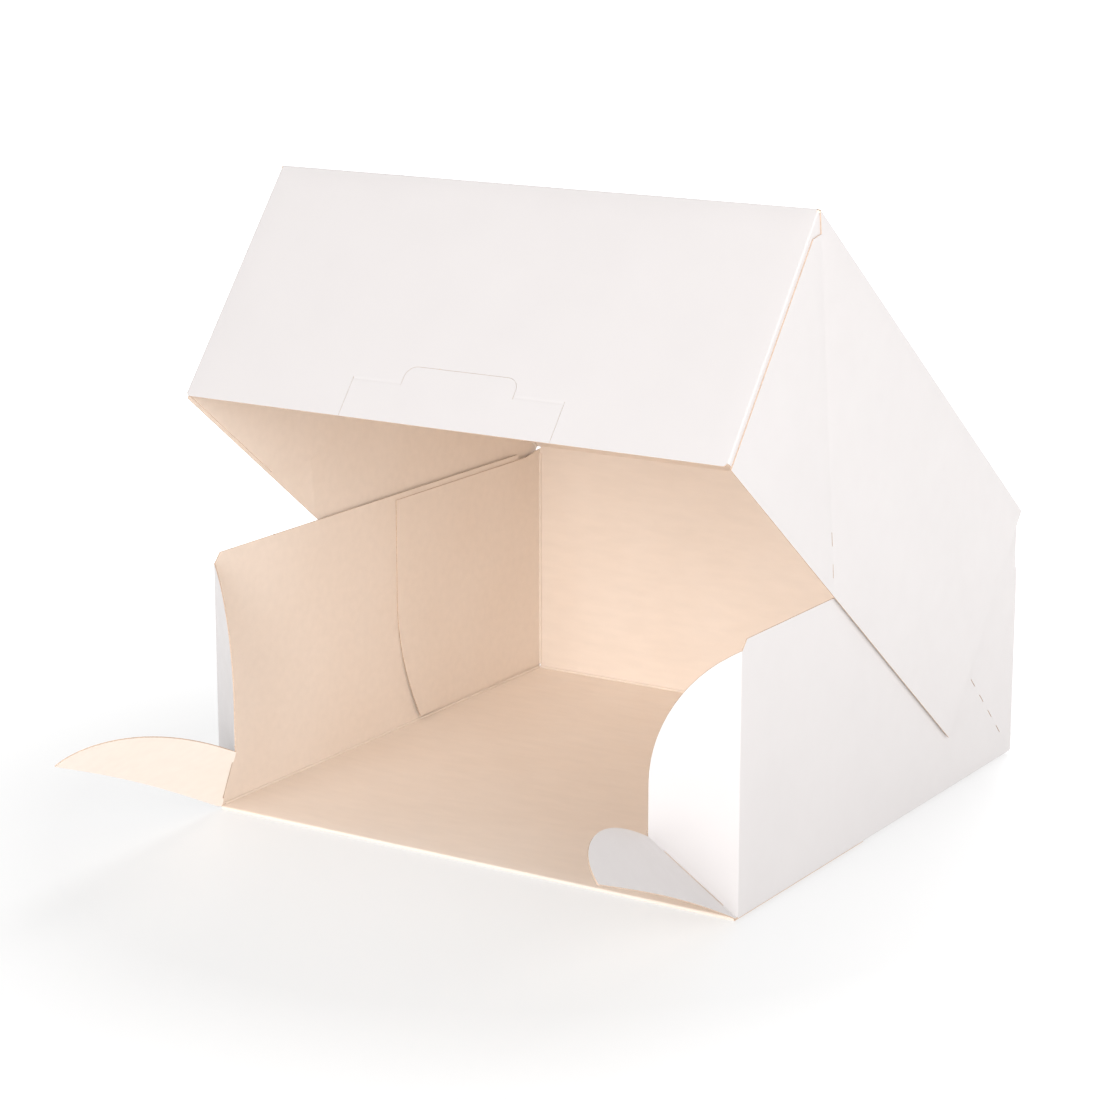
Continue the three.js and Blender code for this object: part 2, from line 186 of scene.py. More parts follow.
class CartonLid(bpy.types.PropertyGroup):
    """The lid, drawn closed with its hinge line at the origin"""
    opening: angle("Opening", "How far the lid stands open", 38.2)
    half_width: length("Half Width", "From the middle to a side panel's face", 126.3 * MM)
    reach: length("Reach", "From the hinge line to the front face", 250.8 * MM)
    top: length("Top", "Height of the top face over the hinge line", 0.8 * MM)
    wall: length("Wall", "Height of the front and side panels", 0.110)
    setback: length("Side Setback", "Side panels stop short of the front", 2.6 * MM)
    notch_depth: length("Notch Depth", "Cut back along the diagonal at the top", 7 * MM)
    notch_height: length("Notch Height", "Where that cut meets the front edge", 0.012)
    crease_start: length("Crease Start", "Crease of a side, from the cut", 2 * MM)
    crease_end: length("Crease End", "Left flat at the crease's lower end", 1.5 * MM)
    corner: length("Corner Radius", "Round lower corners of the front panel", 1.3 * MM)
    flap_length: length("Flap Length", "Reach of a glue flap from the front", 0.108)
    flap_foot: length("Flap Foot", "Length left along its lower edge", 0.070)
    flap_arc_height: length("Flap Arc Height", "Height of its curved edge", 0.068)
    flap_bend: length("Flap Bend", "Height of the corner that it bends round", 0.023)


class CartonLock(bpy.types.PropertyGroup):
    """The lock panel with its tongue, cut free in the lid's front"""
    width: length("Width", "Width of the panel", 0.098)
    height: length("Height", "Lower edge to crease", 0.017)
    tongue_width: length("Tongue Width", "Width of the tongue over the crease", 0.052)
    tongue_height: length("Tongue Height", "Height of the tongue", 8 * MM)
    tongue_radius: length("Tongue Radius", "Round corners of the tongue", 5 * MM)
    crease_half: length("Crease Half", "Half the strip that bends at the crease", 0.8 * MM)
    strip_step: length("Strip Step", "Spacing of the points along that strip", 6 * MM)


class CartonPerforation(bpy.types.PropertyGroup):
    """Cuts along the diagonal creases"""
    cut: length("Cut", "Length of one cut", 5.8 * MM)
    pitch: length("Pitch", "From cut to cut", 13.2 * MM)
    width: length("Width", "Width of one cut", 0.4 * MM)
    wall_start: length("Wall Start", "First cut, from the rear bottom corner", 0.017)
    wall_count: whole("Wall Count", "Cuts in a wall", 4)
    lid_start: length("Lid Start", "First cut, from the lid's lower edge", 7.7 * MM)
    lid_count: whole("Lid Count", "Cuts in the lid", 2)


class CartonNick(bpy.types.PropertyGroup):
    """Small stubs of board left where the die did not cut through"""
    size: length("Size", "Radius of a stub", 0.32 * MM)
    seed: whole("Seed", "Seed of the stubs' shapes", 7)
    right_place: length("Right Place", "Nick in the front's edge, right of the middle", 0.037)
    left_place: length("Left Place", "Nick in the front's edge, left of the middle", 0.074)
    tongue_place: length("Tongue Place", "Nicks over the tongue, from the middle", 0.011)
    wall_place: length("Wall Place", "Nick on a wall's top, from the front", 0.041)
    flap_place: length("Flap Place", "Nick on a dust flap's edge, from the floor", 0.037)


class CartonFinish(bpy.types.PropertyGroup):
    """Colours of the board"""
    coating: colour("Coating", "White outside", (0.67, 0.637, 0.63))
    liner: colour("Liner", "Cream inside", (0.94, 0.83, 0.735))
    core: colour("Core", "Cut edges", (0.62, 0.46, 0.35))


class CartonStage(bpy.types.PropertyGroup):
    """Camera, light and floor"""
    azimuth: angle("Azimuth", "Camera angle round the carton", 32.42)
    elevation: angle("Elevation", "Camera angle above the table", 13.97)
    distance: length("Distance", "Camera to the point that it looks at", 1.388)
    target: FloatVectorProperty(
        name="Target", description="Point that the camera looks at",
        default=(-0.0622, 0.1072, 0.0872), size=3, subtype="TRANSLATION", unit="LENGTH",
    )
    lens: number("Lens", "Focal length in millimetres", 101.3)
    floor_size: length("Floor Size", "Width of the table", 24.0)
    sky: number("Sky", "Light of the white surround", 0.46)
    front: number("Front", "Power of the light in front", 50.0)
    corner: number("Corner", "Power of the light at the right front", 28.0)
    side: number("Side", "Power of the light on the right", 16.0)
    back: number("Back", "Power of the light behind", 40.0)
    # The table glows like a lamp. Its glow is lowest within Near of the origin, under the carton,
    # and rises to Far Glow by Far: a painted shadow round the carton.
    shadowed_glow: number("Glow", "Light of the table itself", 0.6)
    far_glow: number("Far Glow", "The same far away", 1.0)
    near: length("Near", "Distance from the carton where the glow starts to rise", 0.2)
    far: length("Far", "Distance where it is full", 0.5)


SETTINGS = {
    "carton_board": CartonBoard,
    "carton_tray": CartonTray,
    "carton_dust_flap": CartonDustFlap,
    "carton_lid": CartonLid,
    "carton_lock": CartonLock,
    "carton_perforation": CartonPerforation,
    "carton_nick": CartonNick,
    "carton_finish": CartonFinish,
    "carton_stage": CartonStage,
}


# Outlines

WELD = 5e-6
NEAR = 1e-7


def run(start, end, step):
    """Evenly spaced points from start to end, both included."""
    count = max(1, math.ceil((end - start).length / step - NEAR))
    return [start.lerp(end, i / count) for i in range(count + 1)]


def path(corners, step):
    """Points along an open line through its corners."""
    points = [Vector(corners[0])]
    for start, end in zip(corners, corners[1:]):
        points += run(Vector(start), Vector(end), step)[1:]
    return points


def arc(centre, radii, start, end, steps=14):
    """Corners along an elliptic arc, from one angle to another in degrees."""
    (x, y), (across, up) = centre, radii
    angles = [math.radians(start + (end - start) * i / steps) for i in range(steps + 1)]
    return [(x + across * math.cos(a), y + up * math.sin(a)) for a in angles]


def bend(start, middle, end, steps=14):
    """Corners along a quadratic curve."""
    start, middle, end = Vector(start), Vector(middle), Vector(end)
    shares = [i / steps for i in range(steps + 1)]
    return [tuple(start.lerp(middle, t).lerp(middle.lerp(end, t), t)) for t in shares]


def both_halves(right):
    """An outline from its right half, and back along the left one."""
    return right + [(-x, y) for x, y in right[::-1]]


def area(points):
    return sum(a.x * b.y - b.x * a.y for a, b in zip(points, points[1:] + points[:1])) / 2


def is_inside(point, border):
    crossings = 0
    for a, b in zip(border, border[1:] + border[:1]):
        if (a.y > point.y) != (b.y > point.y):
            crossings += point.x < a.x + (point.y - a.y) * (b.x - a.x) / (b.y - a.y)
    return crossings % 2 == 1


def distance_to(point, segment):
    start, end = segment
    line = end - start
    share = (point - start).dot(line) / line.length_squared
    return (point - start - line * min(1.0, max(0.0, share))).length


# Folded sheets

def axes(origin, along, up, outward):
    """A frame from the directions of a panel's outline and of its white face."""
    matrix = Matrix((along, up, outward)).transposed().to_4x4()
    matrix.translation = origin
    return matrix


def side_plane(side, distance):
    """The frame of a panel that faces out to a side."""
    return side @ axes(X * distance, Y, Z, X)


def mirrored(lines):
    """Lines that are drawn on the right, on both sides."""
    return [[side @ Vector(end) for end in line] for side in SIDES for line in lines]


class Sheet:
    """The white face of a folded sheet, gathered panel by panel"""

    def __init__(self, board):
        self.board = board
        self.step = board.mesh_step
        self.mesh = bmesh.new()

    def add_faces(self, points, faces, flipped):
        made = [self.mesh.verts.new(point) for point in points]
        for face in faces:
            corners = [made[i] for i in face]
            self.mesh.faces.new(corners[::-1] if flipped else corners)

    def panel(self, corners, place, creases=(), lift=None):
        """A flat panel inside its corners; lift raises points of it along its white side."""
        closed = list(corners) + [corners[0]]
        border = path(closed, self.step)[:-1]
        if area(border) < 0:
            border.reverse()
        count = len(border)
        points = list(border)
        edges = [(i, (i + 1) % count) for i in range(count)]
        segments = [(Vector(a), Vector(b)) for a, b in creases]
        for start, end in segments:
            across = (end - start).orthogonal().normalized() * self.board.crease_width
            for side in (-1, 0, 1):
                first = len(points)
                line = run(start + across * side, end + across * side, self.step)
                points += line
                edges += [(first + i, first + i + 1) for i in range(len(line) - 1)]
        points += self.inner_points(border, points, segments)
        solved = delaunay_2d_cdt(points, edges, [list(range(count))], 1, NEAR)
        placed = [place @ self.raised(point, segments, lift) for point in solved[0]]
        self.add_faces(placed, solved[2], place.determinant() < 0)

    def inner_points(self, border, taken, segments):
        """A grid of points that keeps clear of the border and of the creases."""
        low = Vector((min(p.x for p in border), min(p.y for p in border)))
        high = Vector((max(p.x for p in border), max(p.y for p in border)))
        clear = POINT_CLEARANCE * self.step
        found = []
        for i in range(1, math.ceil((high.x - low.x) / self.step)):
            for j in range(1, math.ceil((high.y - low.y) / self.step)):
                point = low + Vector((i, j)) * self.step
                if not is_inside(point, border):
                    continue
                if min((point - other).length for other in taken) < clear:
                    continue
                if all(distance_to(point, segment) > clear for segment in segments):
                    found.append(point)
        return found

    def raised(self, point, segments, lift):
        height = lift(point.x, point.y) if lift else 0.0
        for segment in segments:
            share = distance_to(point, segment) / self.board.crease_width
            height -= self.board.crease_depth * max(0.0, 1.0 - share)
        return Vector((point.x, point.y, height))

    def strip(self, section, centres, outward):
        """A section swept along its centres; outward is the side of its white face."""
        points = [centre + offset for offset in section for centre in centres]
        count = len(centres)
        faces = []
        for i in range(len(section) - 1):
            for j in range(count - 1):
                corner = i * count + j
                faces.append((corner, corner + 1, corner + count + 1, corner + count))
        normal = (points[1] - points[0]).cross(points[count] - points[0])
        self.add_faces(points, faces, normal.dot(outward) < 0)

    def fold(self, centres, first, second, turn, radius, hollow=False, steps=6):
        """An arc swept along its centres, from the first direction to the second.

        A hollow arc has its white face inside.
        """
        turns = [turn * i / steps for i in range(steps + 1)]
        section = [(first * math.cos(t) + second * math.sin(t)) * radius for t in turns]
        self.strip(section, centres, -first if hollow else first)

    def right_angle(self, corners, first, second, side=SIDES[0]):
        """A fold of a right angle; its line of centres runs through the corners."""
        centres = [side @ centre for centre in path(corners, self.step)]
        turned = side.to_3x3()
        radius = self.board.fold_radius
        self.fold(centres, turned @ first, turned @ second, math.pi / 2, radius)

    def make(self, name, place, materials):
        """The finished sheet with its thickness, as a plain mesh object."""
        bmesh.ops.remove_doubles(self.mesh, verts=self.mesh.verts[:], dist=WELD)
        bmesh.ops.dissolve_degenerate(self.mesh, edges=self.mesh.edges[:], dist=WELD)
        self.mesh.transform(place)
        data = bpy.data.meshes.new(name)
        self.mesh.to_mesh(data)
        self.mesh.free()
        sheet = plain_object(name, data, materials)
        solid = sheet.modifiers.new("Thickness", "SOLIDIFY")
        solid.thickness = self.board.thickness
        solid.offset = -1.0
        solid.use_even_offset = True
        solid.use_quality_normals = True
        solid.material_offset = INSIDE
        solid.material_offset_rim = CUT_EDGE
        bake_modifiers(sheet)
        return sheet


def plain_object(name, data, materials):
    made = bpy.data.objects.new(name, data)
    bpy.context.scene.collection.objects.link(made)
    for material in materials:
        data.materials.append(material)
    return made


def bake_modifiers(made):
    """Turns an object's evaluated shape into its plain mesh."""
    graph = bpy.context.evaluated_depsgraph_get()
    graph.update()
    baked = bpy.data.meshes.new_from_object(
        made.evaluated_get(graph), preserve_all_data_layers=True, depsgraph=graph,
    )
    made.modifiers.clear()
    old = made.data
    made.data = baked
    baked.name = made.name
    bpy.data.meshes.remove(old)


def smooth(made, degrees=SHARP_EDGE):
    """Smooth shading that stops at every edge sharper than the angle."""
    made.data.polygons.foreach_set("use_smooth", [True] * len(made.data.polygons))
    made.data.set_sharp_from_angle(angle=math.radians(degrees))


def hand_over(made, body, *replaced):
    """The piece rides on its body and stands for the solids that it replaces."""
    smooth(made)
    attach(made, body)
    if replaced:
        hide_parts(*replaced)


# Node trees that repeat or sweep a shape

class NodeTree:
    """A tree whose nodes are made with what their inputs get"""

    def __init__(self, tree):
        self.tree = tree

    def node(self, kind, feeds=None, **settings):
        """The outputs of a new node."""
        made = self.tree.nodes.new(kind)
        for key, value in settings.items():
            setattr(made, key, value)
        self.feed(made, feeds or {})
        return made.outputs

    def feed(self, node, feeds):
        """Each input named gets a constant or another node's output."""
        for key, source in feeds.items():
            if isinstance(source, bpy.types.NodeSocket):
                self.tree.links.new(source, node.inputs[key])
            else:
                node.inputs[key].default_value = source


class ShapeTree(NodeTree):
    """A geometry node tree with named inputs"""

    def __init__(self, name, **kinds):
        super().__init__(bpy.data.node_groups.new(name, "GeometryNodeTree"))
        face = self.tree.interface
        for label, kind in {"Geometry": "Geometry", **kinds, "Material": "Material"}.items():
            face.new_socket(label, in_out="INPUT", socket_type="NodeSocket" + kind)
        face.new_socket("Geometry", in_out="OUTPUT", socket_type="NodeSocketGeometry")
        self.given = self.node("NodeGroupInput")

    def close(self, shape):
        """Ends the tree in real geometry with its material."""
        real = self.node("GeometryNodeRealizeInstances", {"Geometry": shape})
        paint = self.node("GeometryNodeSetMaterial", {
            "Geometry": real["Geometry"], "Material": self.given["Material"],
        })
        self.node("NodeGroupOutput", {"Geometry": paint["Geometry"]})
        return self.tree


def cut_row_tree():
    """Upright knives spread along each line of the carrier."""
    tree = ShapeTree("Perforation knives", Count="Int", Cut="Float", Width="Float", Depth="Float")
    given = tree.given
    lines = tree.node("GeometryNodeMeshToCurve", {"Mesh": given["Geometry"]})
    points = tree.node("GeometryNodeCurveToPoints", mode="COUNT", feeds={
        "Curve": lines["Curve"], "Count": given["Count"],
    })
    turn = tree.node("FunctionNodeAlignRotationToVector", axis="Z", pivot_axis="X", feeds={
        "Vector": points["Tangent"],
    })
    size = tree.node("ShaderNodeCombineXYZ", {
        "X": given["Depth"], "Y": given["Width"], "Z": given["Cut"],
    })
    knife = tree.node("GeometryNodeMeshCube", {"Size": size["Vector"]})
    spread = tree.node("GeometryNodeInstanceOnPoints", {
        "Points": points["Points"], "Instance": knife["Mesh"], "Rotation": turn["Rotation"],
    })
    return tree.close(spread["Instances"])


def bead_tree():
    """A round bead along each line of the carrier."""
    tree = ShapeTree("Fold beads", Radius="Float")
    lines = tree.node("GeometryNodeMeshToCurve", {"Mesh": tree.given["Geometry"]})
    ring = tree.node("GeometryNodeCurvePrimitiveCircle", {
        "Resolution": RING_POINTS, "Radius": tree.given["Radius"],
    })
    sweep = tree.node("GeometryNodeCurveToMesh", {
        "Curve": lines["Curve"], "Profile Curve": ring["Curve"], "Fill Caps": True,
    })
    return tree.close(sweep["Mesh"])


def nick_tree():
    """Small torn stubs where the die left the sheet joined, one on each point."""
    tree = ShapeTree("Cut nicks", Size="Float", Seed="Int")
    given = tree.given
    smallest, largest, tilt = (0.7, 0.6, 0.6), (1.5, 1.0, 1.2), (0.6, 0.6, 0.6)
    stub = tree.node("GeometryNodeMeshIcoSphere", {"Subdivisions": 2, "Radius": given["Size"]})
    scale = tree.node("FunctionNodeRandomValue", data_type="FLOAT_VECTOR", feeds={
        0: smallest, 1: largest, "Seed": given["Seed"],
    })
    turn = tree.node("FunctionNodeRandomValue", data_type="FLOAT_VECTOR", feeds={
        1: tilt, "Seed": given["Seed"],
    })
    spread = tree.node("GeometryNodeInstanceOnPoints", {
        "Points": given["Geometry"], "Instance": stub["Mesh"],
        "Scale": scale[0], "Rotation": turn[0],
    })
    return tree.close(spread["Instances"])


def line_carrier(name, lines):
    """A mesh of separate edges that a tree follows."""
    points = [point for line in lines for point in line]
    data = bpy.data.meshes.new(name)
    data.from_pydata(points, [(i, i + 1) for i in range(0, len(points), 2)], [])
    return plain_object(name, data, [])


TREES = {"Perforation knives": cut_row_tree, "Fold beads": bead_tree, "Cut nicks": nick_tree}


def grow(made, label, place, **values):
    """Runs a tree on an object, keeps the result as its plain mesh and moves it to its place."""
    tree = bpy.data.node_groups.get(label) or TREES[label]()
    modifier = made.modifiers.new(tree.name, "NODES")
    modifier.node_group = tree
    for item in tree.interface.items_tree:
        key = item.name.lower()
        if item.in_out == "INPUT" and key in values:
            modifier[item.identifier] = values[key]
    bake_modifiers(made)
    made.data.transform(place)
    return made


def cut_with(sheet, knives):
    """Cuts the knives out of a sheet."""
    cut = sheet.modifiers.new("Perforations", "BOOLEAN")
    cut.operation = "DIFFERENCE"
    cut.solver = "EXACT"
    cut.material_mode = "TRANSFER"
    cut.object = knives
    bake_modifiers(sheet)
    data = knives.data
    bpy.data.objects.remove(knives)
    bpy.data.meshes.remove(data)


# Finishes

class Finish(NodeTree):
    """A board finish made of shader nodes on Object coordinates"""

    def __init__(self, name, roughness):
        self.material = bpy.data.materials.new(name)
        self.material.use_nodes = True
        super().__init__(self.material.node_tree)
        self.shader = self.tree.nodes["Principled BSDF"]
        self.shader.inputs["Roughness"].default_value = roughness
        self.where = self.node("ShaderNodeTexCoord")["Object"]

    def noise(self, scale, detail, stretch=(1, 1, 1)):
        mapping = self.node("ShaderNodeMapping", {"Vector": self.where, "Scale": stretch})
        return self.node("ShaderNodeTexNoise", {
            "Vector": mapping["Vector"], "Scale": scale, "Detail": detail,
        })["Fac"]

    def mixed(self, factor, low, high):
        """Two colours that a pattern mixes."""
        feeds = {0: factor, 6: (*low, 1), 7: (*high, 1)}
        return self.node("ShaderNodeMix", feeds, data_type="RGBA")[2]

    def tinted(self, tone, tint):
        """A colour multiplied by another."""
        feeds = {0: 1.0, 6: tone, 7: tint}
        return self.node("ShaderNodeMix", feeds, data_type="RGBA", blend_type="MULTIPLY")[2]

    def ranged(self, value, low, high, start=0.3, end=0.7):
        """A pattern's span from start to end, brought to the range from low to high."""
        return self.node("ShaderNodeMapRange", {
            "Value": value, "From Min": start, "From Max": end, "To Min": low, "To Max": high,
        })["Result"]

    def relief(self, height, distance, strength, **below):
        feeds = {"Height": height, "Distance": distance, "Strength": strength, **below}
        return self.node("ShaderNodeBump", feeds)["Normal"]


def shade(tone, factor):
    return [min(1.0, part * factor) for part in tone]


def coating(finish):
    """White clay coating with a soft sheen, faint clouds and a fine tooth."""
    made = Finish("White coated board", 0.4)
    clouds = made.ranged(made.noise(scale=28, detail=3), 0, 1)
    waves = made.relief(made.noise(scale=16, detail=1), 0.6 * MM, strength=0.25)
    tooth = made.noise(scale=1500, detail=3)
    made.feed(made.shader, {
        "Base Color": made.mixed(
            clouds, shade(finish.coating, 0.988), shade(finish.coating, 1.008),
        ),
        "Roughness": made.ranged(made.noise(scale=120, detail=4), 0.34, 0.46),
        "Normal": made.relief(tooth, 0.03 * MM, strength=0.35, Normal=waves),
    })
    return made.material


def liner(finish):
    """Cream inside with long paper fibres, small specks and a dull sheen."""
    made = Finish("Cream board inside", 0.5)
    fibres = made.ranged(made.noise(scale=260, detail=4, stretch=(0.25, 1, 1)), 0, 1)
    clouds = made.ranged(made.noise(scale=22, detail=2), 0, 1)
    grain = made.mixed(fibres, shade(finish.liner, 0.975), shade(finish.liner, 1.012))
    waves = made.relief(made.noise(scale=14, detail=1), 0.6 * MM, strength=0.25)
    tooth = made.noise(scale=900, detail=4, stretch=(0.4, 1, 1))
    made.feed(made.shader, {
        "Base Color": made.tinted(grain, made.mixed(clouds, (0.985, 0.975, 0.965), WHITE)),
        "Roughness": made.ranged(made.noise(scale=90, detail=3), 0.42, 0.58),
        "Normal": made.relief(tooth, 0.05 * MM, strength=0.4, Normal=waves),
    })
    return made.material


def core(finish):
    """Cut edge of the board, with torn fibre."""
    made = Finish("Cut board edge", 0.75)
    fibres = made.ranged(made.noise(scale=1400, detail=3), 0, 1)
    made.feed(made.shader, {
        "Base Color": made.mixed(fibres, shade(finish.core, 0.9), shade(finish.core, 1.12)),
        "Normal": made.relief(made.noise(scale=2600, detail=2), 0.04 * MM, strength=0.5),
    })
    return made.material


def board_finishes(scene):
    """The outside, the inside and the cut edge, made once."""
    names = {"White coated board": coating, "Cream board inside": liner, "Cut board edge": core}
    return [bpy.data.materials.get(name) or make(scene.carton_finish)
            for name, make in names.items()]


# Tray, from its front fold and the floor's underside

def tray_place(scene):
    tray = scene.carton_tray
    return Matrix.Translation((0, HINGE.y - tray.depth, HINGE.z - tray.wall))


def tray_lines(scene):
    """Distances that several panels share."""
    board, tray, flap = scene.carton_board, scene.carton_tray, scene.carton_dust_flap
    half = tray.width / 2
    face = half - board.thickness - board.seat
    return SimpleNamespace(
        half=half,
        wall_fold=half - board.fold_radius,
        flap_face=face,
        back_side=face - board.fold_radius,
        back_fold=tray.depth - board.fold_radius,
        front_side=half - board.fold_radius - tray.under_side_gap,
        turn_start=board.fold_radius * math.tan(flap.turn / 2),
        top=tray.wall - scene.carton_lock.crease_half * 2,
    )


def add_floor(sheet, scene, at):
    right = [
        (at.front_side, 0), (at.wall_fold, 0), (at.wall_fold, at.turn_start),
        (at.wall_fold, at.back_fold), (at.back_side, at.back_fold),
    ]
    sheet.panel(both_halves(right), axes(Vector(), X, Y, -Z))


def add_back_wall(sheet, scene, at):
    tray, radius = scene.carton_tray, scene.carton_board.fold_radius
    right = [(at.back_side, z) for z in (radius, tray.flap_slack, at.top)]
    sheet.panel(both_halves(right), axes(Y * tray.depth, X, Z, Y))
    ends = [(x, at.back_fold, radius) for x in (-at.back_side, at.back_side)]
    sheet.right_angle(ends, -Z, Y)


def add_side_wall(sheet, scene, at, side):
    board, tray = scene.carton_board, scene.carton_tray
    radius = board.fold_radius
    rear = tray.depth - board.seat
    corners = [
        (at.turn_start, radius), (at.back_fold, radius), (rear, radius),
        (rear, tray.wall - tray.rear_cut_drop), (tray.depth - tray.rear_cut_length, tray.wall),
        (tray.chamfer, tray.wall), (at.turn_start, tray.wall - tray.chamfer),
    ]
    near, far = board.crease_start, tray.wall - board.crease_end
    crease = ((tray.depth - near, near), (tray.depth - far, far))
    sheet.panel(corners, side_plane(side, at.half), [crease])
    stops = [(at.wall_fold, y, radius) for y in (0, at.turn_start, at.back_fold)]
    sheet.right_angle(stops, -Z, X, side)


def add_glue_flap(sheet, scene, at, side):
    tray = scene.carton_tray
    low, high = tray.flap_slack, tray.wall - tray.flap_slack
    heights = (low, at.top, tray.wall - tray.hinge_slack)
    front = tray.depth - tray.flap_length
    shoulder = low + tray.flap_arc_height
    corners = [(at.back_fold, z) for z in heights]
    corners += [(at.back_fold - tray.hinge_ease, high), (front, high)]
    corners += bend((front, shoulder), (front, low + tray.flap_arc_height / 2),
                    (front + tray.flap_arc_reach, low))

    def lift(y, z):
        forward = max(0.0, 1 - (y - front) / (tray.flap_length / 2))
        down = max(0.0, 1 - (z - low) / tray.flap_arc_height)
        return -tray.flap_lift * forward ** 2 * down ** 2

    sheet.panel(corners, side_plane(side, at.flap_face), lift=lift)
    sheet.right_angle([(at.back_side, at.back_fold, z) for z in heights], Y, X, side)


def slit_corners(scene, side):
    """Corners along the diagonal, slit in its middle, seen from the flap or the lobe."""
    board, flap = scene.carton_board, scene.carton_dust_flap
    start, end = flap.slit_start * math.sqrt(0.5), flap.slit_end * math.sqrt(0.5)
    gap = board.slit_gap
    aside = side * gap / 2
    return [
        (board.fold_radius, board.fold_radius), (start, start),
        (start + gap - aside, start + gap + aside), (end - gap - aside, end - gap + aside),
        (end, end), (flap.reach, flap.reach),
    ]


def add_dust_flap(sheet, scene, at, side):
    """The flap at a wall's front fold, and the lobe beyond its diagonal."""
    board, tray, flap = scene.carton_board, scene.carton_tray, scene.carton_dust_flap
    radius, height = board.fold_radius, tray.wall - tray.chamfer
    corner = X * at.half
    along = Vector((-math.sin(flap.turn), -math.cos(flap.turn), 0))
    outward = Vector((math.cos(flap.turn), -math.sin(flap.turn), 0))
    bisector = (X + outward).normalized()
    centre = corner - bisector * (radius / math.cos(flap.turn / 2))
    centres = path([centre + Z * radius, centre + Z * height], sheet.step)
    turned = side.to_3x3()
    sheet.fold([side @ point for point in centres], turned @ X, -Y, flap.turn, radius)

    rise = height - flap.shoulder
    bow = (flap.reach ** 2 + rise ** 2) / (2 * flap.reach)
    sweep = math.degrees(math.asin(rise / bow))
    edge = arc((flap.reach - bow, flap.shoulder), (bow, bow), 0, sweep)[:-1]
    corners = [(at.turn_start, radius)] + slit_corners(scene, 1)
    corners += edge + [(at.turn_start, height)]
    sheet.panel(corners, side @ axes(corner, along, Z, outward))

    turn = Matrix.Rotation(flap.lobe_turn, 3, (along + Z).normalized())
    long = flap.lobe_length - flap.reach
    tip = arc((flap.reach, flap.lobe_tip), (long, flap.reach - flap.lobe_tip), 0, 90, 22)[:-1]
    corners = [(2 * radius, 0), (flap.lobe_length, 0)] + tip + slit_corners(scene, -1)[::-1]

    def curl(u, v):
        share = min(1.0, max(0.0, (u - v) / flap.lobe_length))
        return flap.lobe_curl * math.sin(math.pi * share)

    place = axes(corner, turn @ along, turn @ Z, turn @ outward)
    sheet.panel(corners, side @ place, lift=curl)


def add_front_wall(sheet, scene, at):
    """The front wall, folded back under the floor."""
    tray = scene.carton_tray
    side = at.front_side
    radius = tray.under_gap / 2
    corners = [(-side, 0), (side, 0), (side, tray.under_length), (-side, tray.under_length)]
    sheet.panel(corners, axes(Z * -tray.under_gap, X, Y, Z))
    centres = path([(-side, 0, -radius), (side, 0, -radius)], sheet.step)
    sheet.fold(centres, Z, -Y, math.pi, radius, hollow=True, steps=10)


def perforate(made, scene, corner, start, count, place):
    """Rows of cuts along the diagonals that rise forward from a corner, on both sides."""
    cuts = scene.carton_perforation
    rise = Vector((0, -1, 1)).normalized()
    first = start + cuts.cut / 2
    ends = [corner + rise * reach for reach in (first, first + cuts.pitch * (count - 1))]
    knives = grow(
        line_carrier("knives", mirrored([ends])), "Perforation knives", place,
        count=count, cut=cuts.cut, width=cuts.width,
        depth=2 * scene.carton_board.thickness, material=board_finishes(scene)[CUT_EDGE],
    )
    cut_with(made, knives)


class CARTON_OT_tray(bpy.types.Operator):
    """Build the tray as one folded sheet"""
    bl_idname = "carton.tray"
    bl_label = "Tray"

    def execute(self, context):
        scene = context.scene
        board, tray, cuts = scene.carton_board, scene.carton_tray, scene.carton_perforation
        at = tray_lines(scene)
        sheet = Sheet(board)
        add_floor(sheet, scene, at)
        add_back_wall(sheet, scene, at)
        add_front_wall(sheet, scene, at)
        for side in SIDES:
            add_side_wall(sheet, scene, at, side)
            add_glue_flap(sheet, scene, at, side)
            add_dust_flap(sheet, scene, at, side)
        place = tray_place(scene)
        made = sheet.make("tray_sheet", place, board_finishes(scene))
        outer = Vector((at.half + board.seat / 2, tray.depth, 0))
        perforate(made, scene, outer, cuts.wall_start, cuts.wall_count, place)
        hand_over(made, "tray", "tray")
        return {"FINISHED"}


# Lid, drawn closed and turned open about its hinge line

def lid_place(scene):
    return Matrix.Translation(HINGE) @ Matrix.Rotation(-scene.carton_lid.opening, 4, "X")


def lid_lines(scene):
    """Distances that several panels share."""
    board, lid, lock = scene.carton_board, scene.carton_lid, scene.carton_lock
    face = lid.half_width - board.thickness - board.seat
    lower = lid.top - lid.wall
    return SimpleNamespace(
        top_side=lid.half_width - board.fold_radius,
        flap_face=face,
        front_side=face - board.fold_radius,
        front_fold=board.fold_radius - lid.reach,
        fold_height=lid.top - board.fold_radius,
        lower=lower,
        flap_low=lower + lid.corner,
        flap_high=lid.top - 2 * board.fold_radius,
        crease=lower + lock.height,
        rear=-2 * lock.crease_half,
        hinge_side=tray_lines(scene).back_side,
        side_rear=-scene.carton_tray.hinge_slack,
    )


def lock_corners(scene, at, spread, crease_shift):
    """The lock panel's outline from lower right to lower left, widened by the spread."""
    lock = scene.carton_lock
    side = lock.width / 2 + spread
    tongue = lock.tongue_width / 2 + spread
    crease = at.crease + crease_shift
    top = at.crease + lock.tongue_height + spread
    radius = lock.tongue_radius + spread
    right = [(side, at.lower), (side, crease), (tongue, crease)]
    right += arc((tongue - radius, top - radius), (radius, radius), 0, 90, 8)
    return both_halves(right)


def add_lid_top(sheet, scene, at):
    right = [
        (at.front_side, at.front_fold), (at.top_side, at.front_fold),
        (at.top_side, at.side_rear),
        (at.hinge_side - at.side_rear, at.side_rear), (at.hinge_side, at.rear),
    ]
    sheet.panel(both_halves(right), axes(Z * scene.carton_lid.top, X, Y, Z))
    side, height = at.front_side, at.fold_height
    sheet.right_angle([(x, at.front_fold, height) for x in (-side, side)], Z, -Y)


